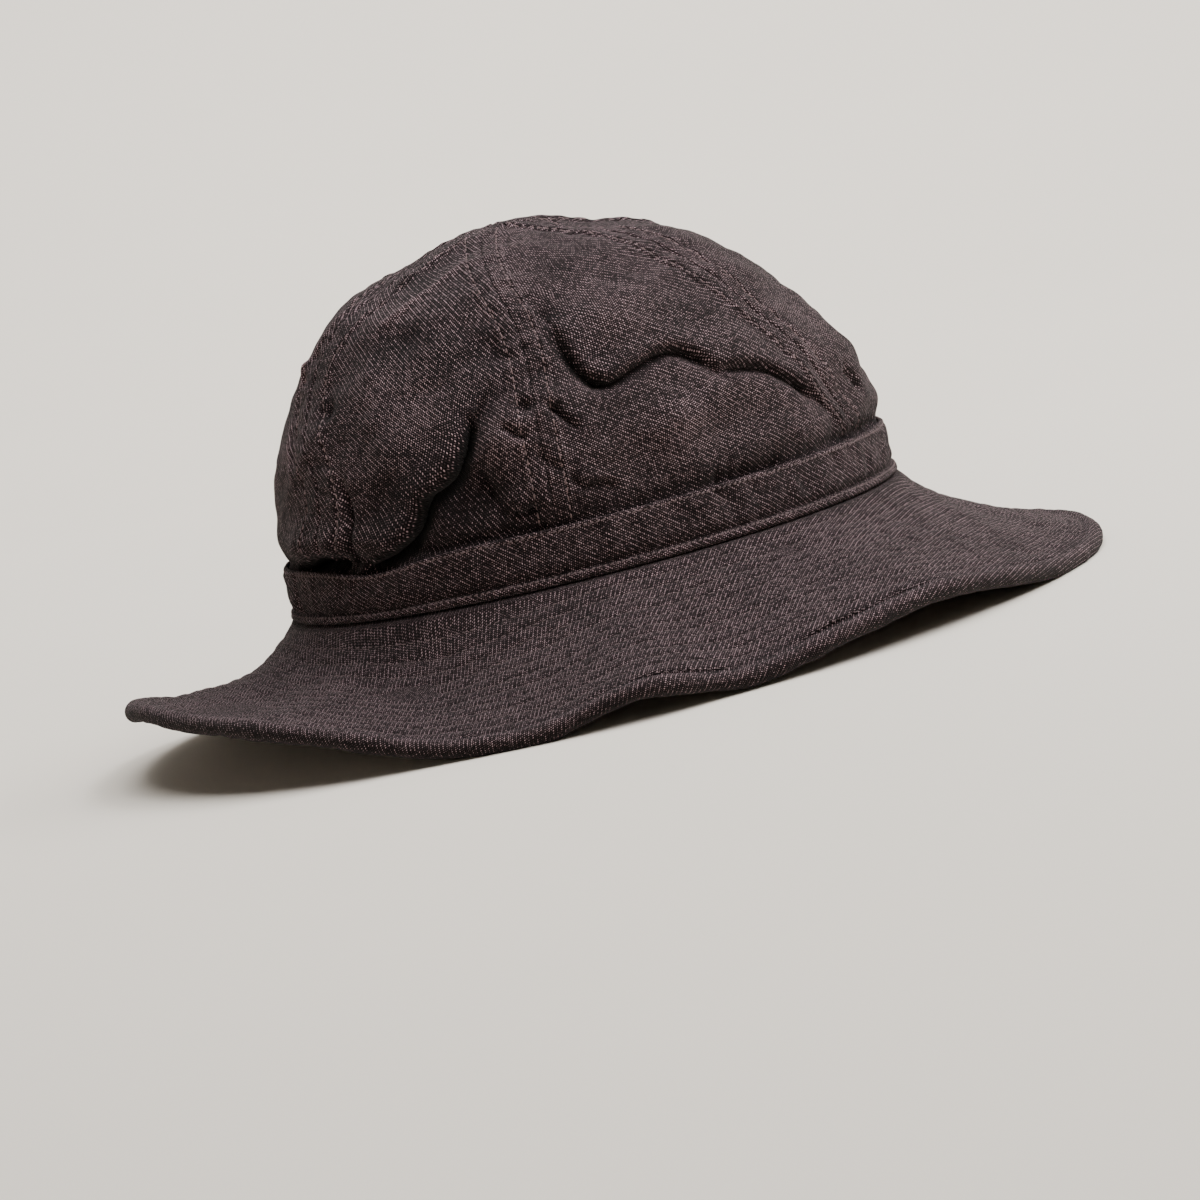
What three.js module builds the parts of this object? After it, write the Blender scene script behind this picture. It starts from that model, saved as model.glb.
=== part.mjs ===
// Fatigue hat: six crown panels, a band around their foot, and a brim of two cloth layers whose
// upper one rolls over the outer edge. Millimetres, +Z up, +X to the front of the hat.
// It rests on its brim by itself, and the origin is on the floor under the middle of it.
import * as THREE from "three";
import { mergeVertices } from "three/addons/utils/BufferGeometryUtils.js";

// Head opening: an oval for a 57 cm head, measured inside the crown.
const headHalfLength = 98;
const headHalfWidth = 83;

// Cloth walls and the gap that sewn pieces keep between them.
const crownWall = 1.5;
const bandWall = 1.7;
const brimLayer = 1.2;
const seamGap = 0.3;

// Crown: rows from its foot to its top. rise is the height over the brim seam, and the other
// columns are how far the cloth reaches to the back, to each side and to the front.
const crownLean = -5;
const crownRows = [
  { rise: seamGap, back: 99.5, side: 84.5, front: 99.5 },
  { rise: 17.6, back: 99.4, side: 84.4, front: 99.3 },
  { rise: 30, back: 98.8, side: 84.0, front: 98.2 },
  { rise: 43.5, back: 96.6, side: 82.0, front: 95.4 },
  { rise: 56, back: 91.6, side: 77.0, front: 87.5 },
  { rise: 68, back: 83.5, side: 70.5, front: 79.0 },
  { rise: 79, back: 74.5, side: 62.5, front: 69.5 },
  { rise: 88.5, back: 64.0, side: 52.5, front: 57.8 },
  { rise: 95.8, back: 47.6, side: 38.8, front: 45.0 },
  { rise: 100.6, back: 29.0, side: 23.8, front: 27.0 },
  { rise: 103.8, back: 14.0, side: 11.8, front: 12.3 },
  { rise: 105, back: 0, side: 0, front: 0 },
];

// Seams between the crown panels: the angle of each, counted from the front of the hat, at the
// crown's foot, halfway up it and at its top.
const seams = [
  { foot: 2, halfway: 2, top: 0 },
  { foot: 62, halfway: 62, top: 60 },
  { foot: 122, halfway: 122, top: 120 },
  { foot: 195, halfway: 180, top: 180 },
  { foot: 242, halfway: 242, top: 240 },
  { foot: 314, halfway: 298, top: 300 },
];

// Folds of the crown: straight creases from one angle and rise to another. depth is how far the
// cloth sinks along the crease, swell how far it stands out above it, and width how far the
// crease spreads to each side.
const folds = [
  { angle: 229, rise: 56, endAngle: 221, endRise: 39, depth: 5, swell: 2, width: 9 },
  { angle: 221, rise: 39, endAngle: 206, endRise: 22, depth: 5, swell: 2, width: 9 },
  { angle: 249, rise: 76, endAngle: 255, endRise: 58, depth: 4, swell: 1.5, width: 8 },
  { angle: 255, rise: 58, endAngle: 270, endRise: 59, depth: 5, swell: 2.5, width: 8 },
  { angle: 270, rise: 59, endAngle: 281, endRise: 47, depth: 4, swell: 2, width: 8 },
  { angle: 284, rise: 48, endAngle: 300, endRise: 34, depth: 4, swell: 2, width: 8 },
  { angle: 198, rise: 42, endAngle: 195, endRise: 20, depth: 3, swell: 0, width: 8 },
  { angle: 30, rise: 62, endAngle: 50, endRise: 40, depth: 4, swell: 2, width: 10 },
  { angle: 84, rise: 44, endAngle: 104, endRise: 58, depth: 4, swell: 2, width: 10 },
  { angle: 140, rise: 58, endAngle: 150, endRise: 26, depth: 4, swell: 1.5, width: 9 },
];
const foldFade = 9;

// Band: rows down the strip's outer face. proud is how far a row stands out of that face, so
// the strip widens downwards and ends in a corded lip under a stitched groove.
const bandJoinAngle = 170;
const bandSag = { angle: 202, width: 12, depth: 3 };
const bandRows = [
  { rise: 17.3, proud: -0.9 },
  { rise: 16.6, proud: -0.6 },
  { rise: 4.2, proud: 0.6 },
  { rise: 3.5, proud: 0 },
  { rise: 2.6, proud: 1 },
  { rise: 1.4, proud: 1 },
  { rise: seamGap, proud: 0.4 },
];

// Brim: rows from its front round to its back, alike on both sides. width is straight from the
// band to the outer edge, drop is how far the edge hangs below the brim seam, and flare is how
// early on the way out the cloth makes that drop.
const edgeRadius = 3;
const edgeGroove = 1.5 * edgeRadius;
const brimTwist = -6;
const flareSharpness = 5;
const brimRows = [
  { angle: 0, width: 68, drop: 31.5, flare: 0.3 },
  { angle: 12, width: 68, drop: 31.5, flare: 0.3 },
  { angle: 24, width: 68, drop: 31.8, flare: 0.3 },
  { angle: 36, width: 68, drop: 32.6, flare: 0.2 },
  { angle: 48, width: 66.5, drop: 31.8, flare: 0.15 },
  { angle: 60, width: 65, drop: 27.4, flare: 0.1 },
  { angle: 72, width: 64, drop: 23.5, flare: 0.1 },
  { angle: 84, width: 64, drop: 26.7, flare: 0.1 },
  { angle: 96, width: 64, drop: 31.4, flare: 0.1 },
  { angle: 108, width: 64, drop: 26.5, flare: 0.15 },
  { angle: 120, width: 65, drop: 32.8, flare: 0.3 },
  { angle: 132, width: 64, drop: 30.8, flare: 0.55 },
  { angle: 144, width: 63, drop: 22.2, flare: 0.9 },
  { angle: 156, width: 61, drop: 16.5, flare: 1.1 },
  { angle: 168, width: 60, drop: 13.6, flare: 1.2 },
  { angle: 180, width: 60, drop: 11.2, flare: 1.2 },
];
const brimShares = [0, 0.12, 0.28, 0.5, 0.75];

// Rest: how far the brim seam tips to the front on a floor, and its height over that floor.
const restTilt = 0.2;
const seamHeight = 36.4;

// Fineness of the faceted solids.
const panelColumns = 14;
const panelSteps = 15;
const sectors = 60;
const edgeSteps = 8;

const clothColour = 0x4a4043;
const toRadians = Math.PI / 180;
const fullTurn = 360;
const halfTurn = 180;
const degreeLength = headHalfWidth * toRadians;
const bandClimb = 1 / (crownRows.length - 1);
const brimThickness = 2 * brimLayer + seamGap;
const layerEnd = edgeRadius + seamGap;
const bandInside = crownWall + seamGap;
const bandOutside = bandInside + bandWall;
const crownTop = crownRows[crownRows.length - 1].rise;
const bandTop = bandRows[0].rise;

// Smooth value of one column at a place between the rows of a table, counted in rows. Past its
// ends the table either turns back, as a symmetrical outline does, or keeps its last value.
function columnAt(rows, column, place, mirrored) {
  const last = rows.length - 1;
  const start = Math.floor(place);
  const share = place - start;
  const pick = (index) => {
    const turned = index < 0 ? -index : index > last ? 2 * last - index : index;
    return rows[mirrored ? turned : Math.min(Math.max(index, 0), last)][column];
  };
  const before = pick(start - 1);
  const here = pick(start);
  const next = pick(start + 1);
  const after = pick(start + 2);
  const bend = 2 * before - 5 * here + 4 * next - after;
  const turn = 3 * (here - next) + after - before;
  return here + 0.5 * share * (next - before + share * (bend + share * turn));
}

// How a point lies once the hat rests: tipped to the front, and flattened where it meets the floor.
function settled(point) {
  const resting = point.clone().applyAxisAngle(new THREE.Vector3(0, 1, 0), restTilt * toRadians);
  resting.z = Math.max(resting.z + seamHeight, 0);
  return resting;
}

// A point on the oval that lies a given distance outside the head opening.
function ovalPoint(angle, outside, rise) {
  const x = (headHalfLength + outside) * Math.cos(angle * toRadians);
  const y = (headHalfWidth + outside) * Math.sin(angle * toRadians);
  return new THREE.Vector3(x, y, rise);
}

// The outer face of the crown, with climb from 0 at its foot to 1 at its top.
function domePoint(angle, climb) {
  const place = climb * (crownRows.length - 1);
  const forward = Math.cos(angle * toRadians);
  const sideways = Math.sin(angle * toRadians);
  const along = columnAt(crownRows, forward > 0 ? "front" : "back", place, false);
  const across = columnAt(crownRows, "side", place, false);
  const rise = columnAt(crownRows, "rise", place, false);
  const overBand = Math.max(rise - bandTop, 0) / (crownTop - bandTop);
  return new THREE.Vector3(along * forward + crownLean * overBand ** 2, across * sideways, rise);
}

function domeNormal(angle, climb) {
  const nudge = 0.01;
  const level = Math.min(climb, 1 - 2 * nudge);
  const around = domePoint(angle + 1, level).sub(domePoint(angle - 1, level));
  const upward = domePoint(angle, level + nudge).sub(domePoint(angle, Math.max(level - nudge, 0)));
  return around.cross(upward).normalize();
}

// How far the folds move the cloth outwards at a place on the crown. They fade away at the band.
function foldReach(angle, rise) {
  const spot = new THREE.Vector2(angle * degreeLength, rise);
  let sink = 0;
  let swell = 0;
  for (const fold of folds) {
    const start = new THREE.Vector2(fold.angle * degreeLength, fold.rise);
    const crease = new THREE.Vector2(fold.endAngle * degreeLength, fold.endRise).sub(start);
    const passed = spot.clone().sub(start).dot(crease) / crease.lengthSq();
    const nearest = start.addScaledVector(crease, THREE.MathUtils.clamp(passed, 0, 1));
    const aside = spot.clone().sub(nearest).divideScalar(fold.width);
    sink = Math.max(sink, fold.depth * Math.exp(-2 * aside.lengthSq()));
    swell = Math.max(swell, fold.swell * aside.y * Math.exp(1 - aside.length()));
  }
  return (swell - sink) * THREE.MathUtils.smoothstep(rise, bandTop, bandTop + foldFade);
}

// The crown's cloth where it lies in the hat, at a depth under its outer face.
function crownPoint(angle, climb, depth) {
  const point = domePoint(angle, climb);
  const lift = foldReach(angle, point.z) - depth;
  return settled(point.addScaledVector(domeNormal(angle, climb), lift));
}

// The angle of a seam at a height on the crown: a smooth curve through its three angles.
function seamAngle(seam, climb) {
  const low = seam.foot * (1 - climb) * (1 - 2 * climb);
  const high = seam.top * climb * (2 * climb - 1);
  return low + 4 * seam.halfway * climb * (1 - climb) + high;
}

// Closed skin over a stack of loops with equal numbers of points. An endless stack joins its
// last loop to its first, and an open one has both ends covered by a strip of faces. Each
// square is cut along its shorter diagonal, so layers that lie together are cut alike.
function skinOver(loops, endless) {
  const corners = [];
  const addFace = (a, b, c) => {
    const shortest = Math.min(a.distanceTo(b), b.distanceTo(c), c.distanceTo(a));
    if (shortest > 1e-3) {
      corners.push(...a.toArray(), ...b.toArray(), ...c.toArray());
    }
  };
  const size = loops[0].length;
  const bridges = endless ? loops.length : loops.length - 1;
  for (let row = 0; row < bridges; row += 1) {
    const lower = loops[row];
    const upper = loops[(row + 1) % loops.length];
    for (let spot = 0; spot < size; spot += 1) {
      const next = (spot + 1) % size;
      if (lower[spot].distanceTo(upper[next]) < lower[next].distanceTo(upper[spot])) {
        addFace(lower[spot], lower[next], upper[next]);
        addFace(lower[spot], upper[next], upper[spot]);
      } else {
        addFace(lower[spot], lower[next], upper[spot]);
        addFace(lower[next], upper[next], upper[spot]);
      }
    }
  }
  const coverEnd = (loop) => {
    for (let spot = 0; spot < size / 2 - 1; spot += 1) {
      addFace(loop[spot], loop[spot + 1], loop[size - 2 - spot]);
      addFace(loop[spot], loop[size - 2 - spot], loop[size - 1 - spot]);
    }
  };
  if (!endless) {
    coverEnd(loops[loops.length - 1]);
    coverEnd([...loops[0]].reverse());
  }
  const faces = new THREE.BufferGeometry();
  faces.setAttribute("position", new THREE.Float32BufferAttribute(corners, 3));
  const skin = mergeVertices(faces, 1e-3);
  skin.computeVertexNormals();
  return skin;
}

// One crown panel between two seams. Its last loop closes to a tip beside the crown's top.
function crownPanel(index) {
  const seam = seams[index];
  const nextSeam = seams[(index + 1) % seams.length];
  const widthAt = (climb) => {
    const width = seamAngle(nextSeam, climb) - seamAngle(seam, climb);
    return (width + fullTurn) % fullTurn;
  };
  const loops = [];
  for (let step = 0; step < panelSteps; step += 1) {
    const climb = step === 0 ? 0 : bandClimb + (1 - bandClimb) * ((step - 1) / (panelSteps - 1));
    const reach = columnAt(crownRows, "side", climb * (crownRows.length - 1), false);
    const trim = seamGap / 2 / reach / toRadians;
    const outer = [];
    const inner = [];
    for (let column = 0; column <= panelColumns; column += 1) {
      const share = column / panelColumns;
      const angle = seamAngle(seam, climb) + trim + (widthAt(climb) - 2 * trim) * share;
      outer.push(crownPoint(angle, climb, 0));
      inner.unshift(crownPoint(angle, climb, crownWall));
    }
    loops.push([...outer, ...inner]);
  }
  const tipTurn = (widthAt(1) / 2) * toRadians;
  const tipAngle = seam.top * toRadians + tipTurn;
  const tipReach = seamGap / 2 / Math.sin(tipTurn);
  const tip = domePoint(0, 1);
  tip.x += tipReach * Math.cos(tipAngle);
  tip.y += tipReach * Math.sin(tipAngle);
  const tipUnder = tip.clone().setZ(tip.z - crownWall);
  const tipLoop = loops[0].map((corner, spot) => settled(spot <= panelColumns ? tip : tipUnder));
  return skinOver([...loops, tipLoop], false);
}

// A point on the band, which sags where the crown hangs over its upper edge.
function bandPoint(angle, outside, rise) {
  const sag = bandSag.depth * Math.exp(-(((angle - bandSag.angle) / bandSag.width) ** 2));
  return settled(ovalPoint(angle, outside, rise - (sag * rise) / bandTop));
}

// The band, a strip around the crown's foot whose two ends meet at a join.
function bandStrip() {
  const joinTurn = seamGap / (headHalfLength * toRadians);
  const loops = [];
  for (let sector = 0; sector <= sectors; sector += 1) {
    const angle = bandJoinAngle + joinTurn / 2 + (fullTurn - joinTurn) * (sector / sectors);
    const outer = bandRows.map((row) => bandPoint(angle, bandOutside + row.proud, row.rise));
    const inner = bandRows.map((row) => bandPoint(angle, bandInside, row.rise)).reverse();
    loops.push([...outer, ...inner]);
  }
  return skinOver(loops, false);
}

// The middle of the brim's cloth: share is 0 at the band and 1 in the middle of the rolled edge,
// and below 0 it is the flat seam allowance that runs in under the crown.
function brimMiddle(angle, share) {
  const turned = (angle - brimTwist + fullTurn) % fullTurn;
  const fromFront = Math.min(turned, fullTurn - turned);
  const place = fromFront / (halfTurn / (brimRows.length - 1));
  const drop = columnAt(brimRows, "drop", place, true);
  const width = columnAt(brimRows, "width", place, true);
  const reach = Math.sqrt(width ** 2 - drop ** 2) - edgeRadius;
  const flare = columnAt(brimRows, "flare", place, true);
  const outward = Math.max(share, 0);
  const early = 1 - (1 - Math.min(outward, 1)) ** flareSharpness;
  const outside = bandOutside + (share < 0 ? share * bandOutside : share * reach);
  const fall = drop * (outward + flare * (early - outward));
  return ovalPoint(angle, outside, -brimThickness / 2 - fall);
}

// A point a little beside the brim's middle: along runs outward and lift stands off the cloth.
function brimPoint(angle, share, along, lift) {
  const nudge = 0.01;
  const middle = brimMiddle(angle, share);
  const outward = brimMiddle(angle, share + nudge).sub(brimMiddle(angle, share - nudge)).normalize();
  const around = new THREE.Vector3(-Math.sin(angle * toRadians), Math.cos(angle * toRadians), 0);
  const up = outward.clone().cross(around).normalize();
  return settled(middle.addScaledVector(outward, along).addScaledVector(up, lift));
}

// One layer of the brim, swept around the hat as an endless stack of sections.
function brimSweep(sectionAt) {
  const loops = [];
  for (let sector = 0; sector < sectors; sector += 1) {
    loops.push(sectionAt((sector / sectors) * fullTurn));
  }
  return skinOver(loops, true);
}

// Upper layer: out along its top face, round the rolled edge, and back along its lower face.
function brimTopSection(angle) {
  const shares = [-1, ...brimShares];
  const upperFace = shares.map((share) => brimPoint(angle, share, 0, brimThickness / 2));
  upperFace.push(brimPoint(angle, 1, -edgeGroove, brimThickness / 2));
  const firstTurn = 150;
  const lastTurn = -165;
  const edge = [];
  for (let step = 0; step <= edgeSteps; step += 1) {
    const turn = (firstTurn + (lastTurn - firstTurn) * (step / edgeSteps)) * toRadians;
    edge.push(brimPoint(angle, 1, edgeRadius * Math.cos(turn), edgeRadius * Math.sin(turn)));
  }
  const tuck = brimPoint(angle, 1, edgeRadius * Math.cos(lastTurn * toRadians), seamGap / 2);
  const lowerFace = shares.map((share) => brimPoint(angle, share, 0, seamGap / 2)).reverse();
  lowerFace.unshift(brimPoint(angle, 1, -layerEnd, seamGap / 2));
  return [...upperFace, ...edge, tuck, ...lowerFace];
}

// Lower layer: it ends just inside the rolled edge.
function brimUnderSection(angle) {
  const shares = [-1, ...brimShares];
  const upperFace = shares.map((share) => brimPoint(angle, share, 0, -seamGap / 2));
  const lowerFace = shares.map((share) => brimPoint(angle, share, 0, -brimThickness / 2)).reverse();
  const upperEnd = brimPoint(angle, 1, -layerEnd, -seamGap / 2);
  const lowerEnd = brimPoint(angle, 1, -layerEnd, -brimThickness / 2);
  return [...upperFace, upperEnd, lowerEnd, ...lowerFace];
}

const hat = new THREE.Group();

function addPiece(name, geometry) {
  const cloth = new THREE.MeshStandardMaterial({ color: clothColour, roughness: 0.9, metalness: 0 });
  const piece = new THREE.Mesh(geometry, cloth);
  piece.name = name;
  hat.add(piece);
}

for (let index = 0; index < seams.length; index += 1) {
  addPiece(`crown_panel_${index + 1}`, crownPanel(index));
}
addPiece("band", bandStrip());
addPiece("brim_top", brimSweep(brimTopSection));
addPiece("brim_under", brimSweep(brimUnderSection));

const bounds = new THREE.Box3().setFromObject(hat);
const middle = bounds.getCenter(new THREE.Vector3());
hat.position.set(-middle.x, -middle.y, -bounds.min.z);

export default hat;
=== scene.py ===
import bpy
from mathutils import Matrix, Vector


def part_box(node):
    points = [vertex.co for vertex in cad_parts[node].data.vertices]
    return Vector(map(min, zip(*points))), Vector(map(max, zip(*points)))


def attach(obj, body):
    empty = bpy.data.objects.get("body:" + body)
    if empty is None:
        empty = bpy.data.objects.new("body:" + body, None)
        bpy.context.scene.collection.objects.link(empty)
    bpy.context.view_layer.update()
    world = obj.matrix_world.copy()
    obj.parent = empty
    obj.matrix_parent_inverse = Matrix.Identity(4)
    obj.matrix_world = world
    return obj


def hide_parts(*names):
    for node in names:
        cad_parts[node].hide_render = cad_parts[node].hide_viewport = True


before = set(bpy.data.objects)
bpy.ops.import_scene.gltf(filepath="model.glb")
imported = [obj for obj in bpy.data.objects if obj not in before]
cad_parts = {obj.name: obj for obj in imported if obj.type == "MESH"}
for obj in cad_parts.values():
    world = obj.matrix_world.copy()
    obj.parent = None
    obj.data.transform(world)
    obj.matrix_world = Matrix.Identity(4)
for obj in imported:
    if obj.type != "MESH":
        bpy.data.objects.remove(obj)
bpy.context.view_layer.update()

import math
import bpy
import numpy as np
from mathutils import Matrix, Vector

bpy.ops.object.select_all(action="DESELECT")
print("frame loaded,", len(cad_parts), "cloth pieces")

mm = 0.001  # lengths below are in millimetres, and become metres when a mesh is shaped

# where the hat lies: the middle of its band, and how the brim seam stands over the floor
bandLow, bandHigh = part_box("band")
rest = {
    "x": (bandLow.x + bandHigh.x) / 2 / mm,
    "y": (bandLow.y + bandHigh.y) / 2 / mm,
    "seamHeight": 36.4,
    "tilt": 0.2,  # degrees, front down
}
head = {"halfLength": 98, "halfWidth": 83, "seamGap": 0.3}
cloth = {
    "meeting": 0.01,  # corners closer than this are joined
    "sharpFrom": 50,  # degrees between two faces
    "swellCount": 16,  # waves in one set of soft swells, and their lengths against the set's size
    "swellLengths": (0.75, 1.5),
}


def settled(points):  # from the hat's own place to the floor, in metres
    tilt = math.radians(rest["tilt"])
    x = points[:, 0] * math.cos(tilt) + points[:, 2] * math.sin(tilt) + rest["x"]
    z = points[:, 2] * math.cos(tilt) - points[:, 0] * math.sin(tilt) + rest["seamHeight"]
    return np.stack([x, points[:, 1] + rest["y"], np.maximum(z, 0)], 1) * mm


def columnAt(values, place, mirrored=False):  # smooth curve through the values of a column
    values = np.array(values, float)
    last = len(values) - 1
    start = np.floor(place).astype(int)
    share = place - start

    def pick(index):
        if mirrored:
            index = np.where(index < 0, -index, np.where(index > last, 2 * last - index, index))
        return values[np.clip(index, 0, last)]

    before, here, after, beyond = pick(start - 1), pick(start), pick(start + 1), pick(start + 2)
    bend = 2 * before - 5 * here + 4 * after - beyond
    turn = 3 * (here - after) + beyond - before
    return here + 0.5 * share * (after - before + share * (bend + share * turn))


def smoothStep(value, low, high):
    share = np.clip((value - low) / (high - low), 0, 1)
    return share * share * (3 - 2 * share)


def hump(value, middle, width):
    return np.exp(-(((value - middle) / width) ** 2))


def humps(value, table):  # the sum of a table of (height, middle, width)
    return sum(height * hump(value, middle, width) for height, middle, width in table)


def unit(vectors):
    return vectors / np.maximum(np.linalg.norm(vectors, axis=1, keepdims=True), 1e-9)


def waves(points, size, seed):  # soft random swells, about one unit high
    draw = np.random.default_rng(seed)
    total = np.zeros(len(points))
    for _ in range(cloth["swellCount"]):
        direction = draw.normal(size=3)
        direction /= np.linalg.norm(direction)
        length = size * draw.uniform(*cloth["swellLengths"])
        total += np.sin(points @ direction * (2 * math.pi / length) + draw.uniform(0, 2 * math.pi))
    return total / math.sqrt(cloth["swellCount"] / 2)


def swellSets(points, table):  # the sum of a table of (height, size, seed)
    return sum(height * waves(points, size, seed) for height, size, seed in table)


def runningLength(points):
    steps = np.linalg.norm(np.diff(points, axis=0), axis=1)
    return np.concatenate([[0], np.cumsum(steps)])


def clothGrid(name, points, across, wearAndPaintedShading):  # a grid laid over the points of a cloth, row by row
    rows, columns = points.shape[:2]
    bpy.ops.object.select_all(action="DESELECT")
    bpy.ops.mesh.primitive_grid_add(x_subdivisions=columns - 1, y_subdivisions=rows - 1, size=1)
    piece = bpy.context.object
    piece.name = name
    piece.data.name = name
    mesh = piece.data
    mesh.vertices.foreach_set("co", settled(points.reshape(-1, 3)).ravel())
    corners = np.zeros(len(mesh.loops), int)
    mesh.loops.foreach_get("vertex_index", corners)
    mesh.uv_layers[0].name = "weave"
    mesh.uv_layers["weave"].data.foreach_set("uv", across.reshape(-1, 2)[corners].ravel())
    # wear, and painted light and shade, for the denim to read
    wornAndPaintedShade = mesh.attributes.new("wearAndPaintedShading", "FLOAT", "POINT")
    wornAndPaintedShade.data.foreach_set("value", wearAndPaintedShading.ravel())
    mesh.update()
    return piece


def joinMeetingCorners():
    bpy.ops.mesh.select_all(action="SELECT")
    bpy.ops.mesh.remove_doubles(threshold=cloth["meeting"] * mm)


def closeEdges():  # joins the rows and columns that meet, and caps open ends
    bpy.ops.object.mode_set(mode="EDIT")
    joinMeetingCorners()
    bpy.ops.mesh.fill_holes(sides=0)
    bpy.ops.mesh.select_all(action="SELECT")
    bpy.ops.mesh.normals_make_consistent(inside=False)
    bpy.ops.object.mode_set(mode="OBJECT")


def finishCloth(piece, node, material):
    bpy.ops.object.shade_smooth_by_angle(angle=math.radians(cloth["sharpFrom"]))
    piece.data.materials.clear()
    piece.data.materials.append(material)
    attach(piece, "root")
    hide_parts(node)


class Value:  # a socket whose sums and products add Math nodes
    def __init__(self, recipe, socket):
        self.recipe = recipe
        self.socket = socket

    def math(self, operation, *others):
        return self.recipe.mathNode(operation, self, *others)

    def __add__(self, other):
        return self.math("ADD", other)

    def __sub__(self, other):
        return self.math("SUBTRACT", other)

    def __mul__(self, other):
        return self.math("MULTIPLY", other)

    def __truediv__(self, other):
        return self.math("DIVIDE", other)

    def __rsub__(self, other):
        return self.recipe.mathNode("SUBTRACT", other, self)

    def __rtruediv__(self, other):
        return self.recipe.mathNode("DIVIDE", other, self)

    __radd__ = __add__
    __rmul__ = __mul__


class Recipe:  # one material and its nodes
    def __init__(self, name):
        self.material = bpy.data.materials.new(name)
        self.material.use_nodes = True
        self.tree = self.material.node_tree
        self.shader = self.tree.nodes["Principled BSDF"]

    def add(self, kind, settings, sockets, output=0):  # settings go first, since they can change the sockets
        node = self.tree.nodes.new(kind)
        for setting, value in settings.items():
            setattr(node, setting, value)
        named = sockets.items() if isinstance(sockets, dict) else enumerate(sockets)
        for socket, value in named:
            self.feed(node.inputs[socket], value)
        return Value(self, node.outputs[output])

    def feed(self, socket, value):
        if isinstance(value, Value):
            self.tree.links.new(value.socket, socket)
        else:
            socket.default_value = value

    def surface(self, values):
        for socket, value in values.items():
            self.feed(self.shader.inputs[socket], value)

    def mathNode(self, operation, *values):
        return self.add("ShaderNodeMath", {"operation": operation}, values)

    def noise(self, place, scale, detail):
        return self.add("ShaderNodeTexNoise", {}, {"Vector": place, "Scale": scale, "Detail": detail})

    def objectPlace(self):
        return self.add("ShaderNodeTexCoord", {}, {}, "Object")

    def blend(self, share, first, second):  # the Mix node's colours are its sockets 6, 7 and 2
        return self.add("ShaderNodeMix", {"data_type": "RGBA"}, {0: share, 6: first, 7: second}, 2)


twill = {
    "spacing": 0.50,  # from thread to thread
    "brimSpacing": 0.44,
    "over": 2.0,  # threads that each thread passes over, and then under
    "wander": 3.0,  # how many threads the warp strays, and the weft's share of it
    "weftWander": 0.6,
    "wanderScale": 0.11,
    "slubScale": (0.71, 0.03),  # of the streaks, across and along the warp
    "barScale": (0.04, 0.67),
    "weftHeight": 0.76,  # against the warp's
    "relief": 0.32,
    "bump": 0.8,
    "slubBump": 0.4,
    "gapPower": 1.25,  # painted shade: darkens the gaps between the threads
    # what lightens the threads: all of them, chance, slubs, weft bars, faded places, and wear with painted
    # light and shade
    "plain": 0.74,
    "chance": 0.80,
    "slubs": 0.28,
    "bars": 0.18,
    "fade": 0.26,
    "fadeScale": 55.0,
    "wearAndPaintedShading": 0.20,
    "darker": 0.16,
    "dark": (0.0030, 0.0014, 0.0016, 1),
    "mid": (0.036, 0.0225, 0.0245, 1),
    "light": (0.47, 0.322, 0.346, 1),
    "roughness": (0.96, 0.84),  # in the gaps, and on the threads
    "gloss": 0.15,
    "sheen": 0.04,
    "sheenRoughness": 0.5,
}


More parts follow.
